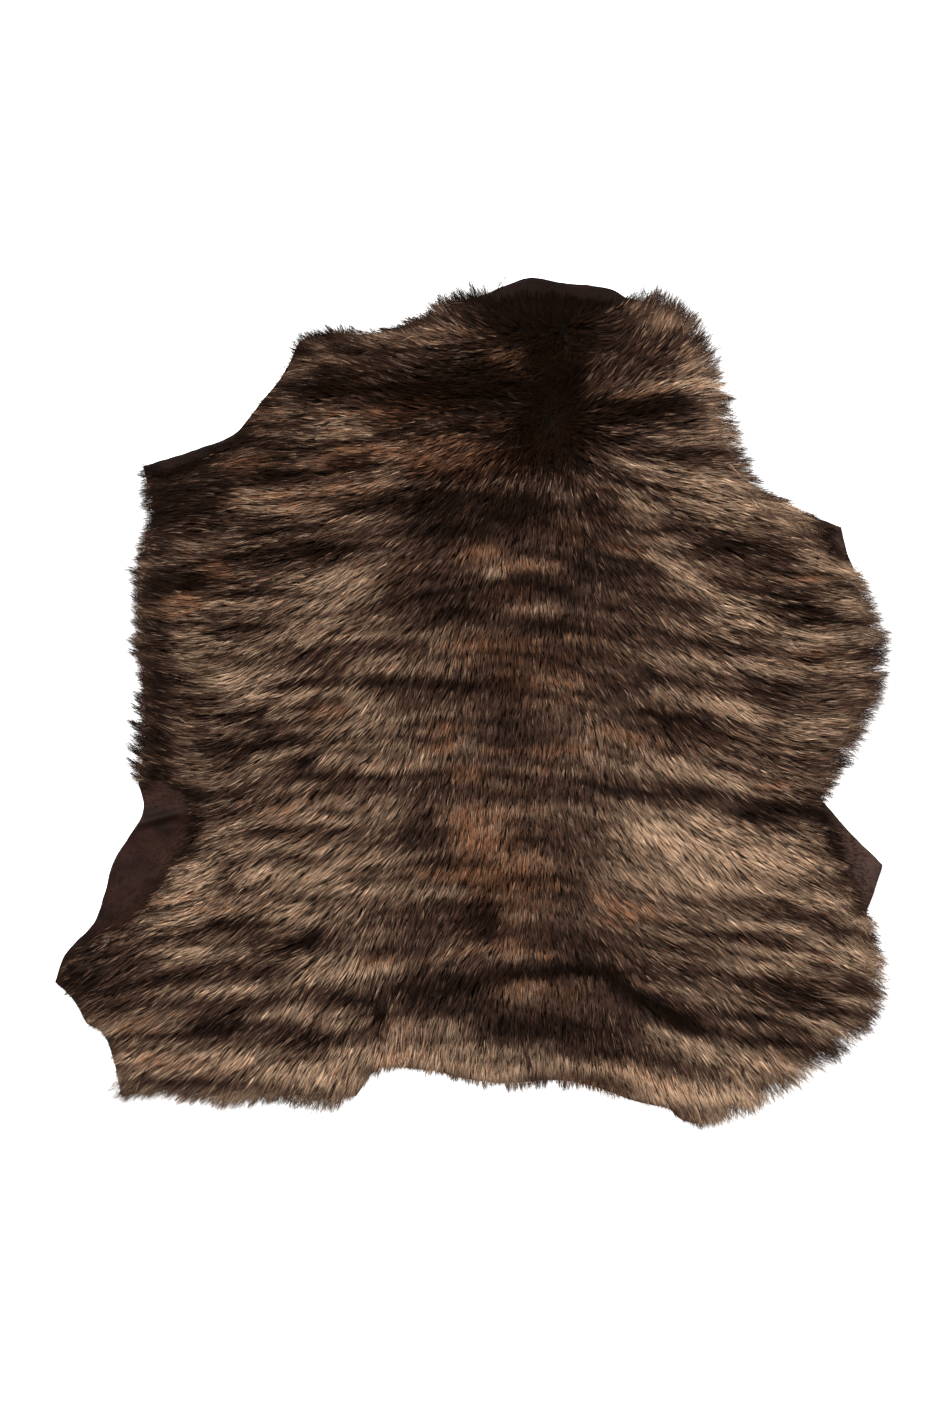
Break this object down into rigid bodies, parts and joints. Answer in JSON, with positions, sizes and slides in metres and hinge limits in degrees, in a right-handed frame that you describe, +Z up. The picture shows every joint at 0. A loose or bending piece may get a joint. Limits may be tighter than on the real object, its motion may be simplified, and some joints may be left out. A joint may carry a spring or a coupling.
{
  "type": "shearling sheepskin",
  "caption": "Whole wool-on sheepskin laid flat: an irregular sheet of tanned leather with bare cut flaps, covered in long brindle pile that hangs over its edge in locks.",
  "frame": {"origin": "on the floor under the middle of the skin's box, in the plane of the flat leather underside", "axes": "+X to the right seen from above, +Y towards the neck end along the back, +Z up through the pile"},
  "size_m": [0.9388, 0.9516, 0.026],
  "materials": {
    "leather": "dark brown tanned skin side, matt suede with faint creases and reddish patches",
    "fleece": "long laid wool pile, near-black brown with tan and rust brindle bands, soft low sheen"
  },
  "bodies": {
    "root": {"hide": "leather", "fleece": "fleece"}
  },
  "joints": []
}
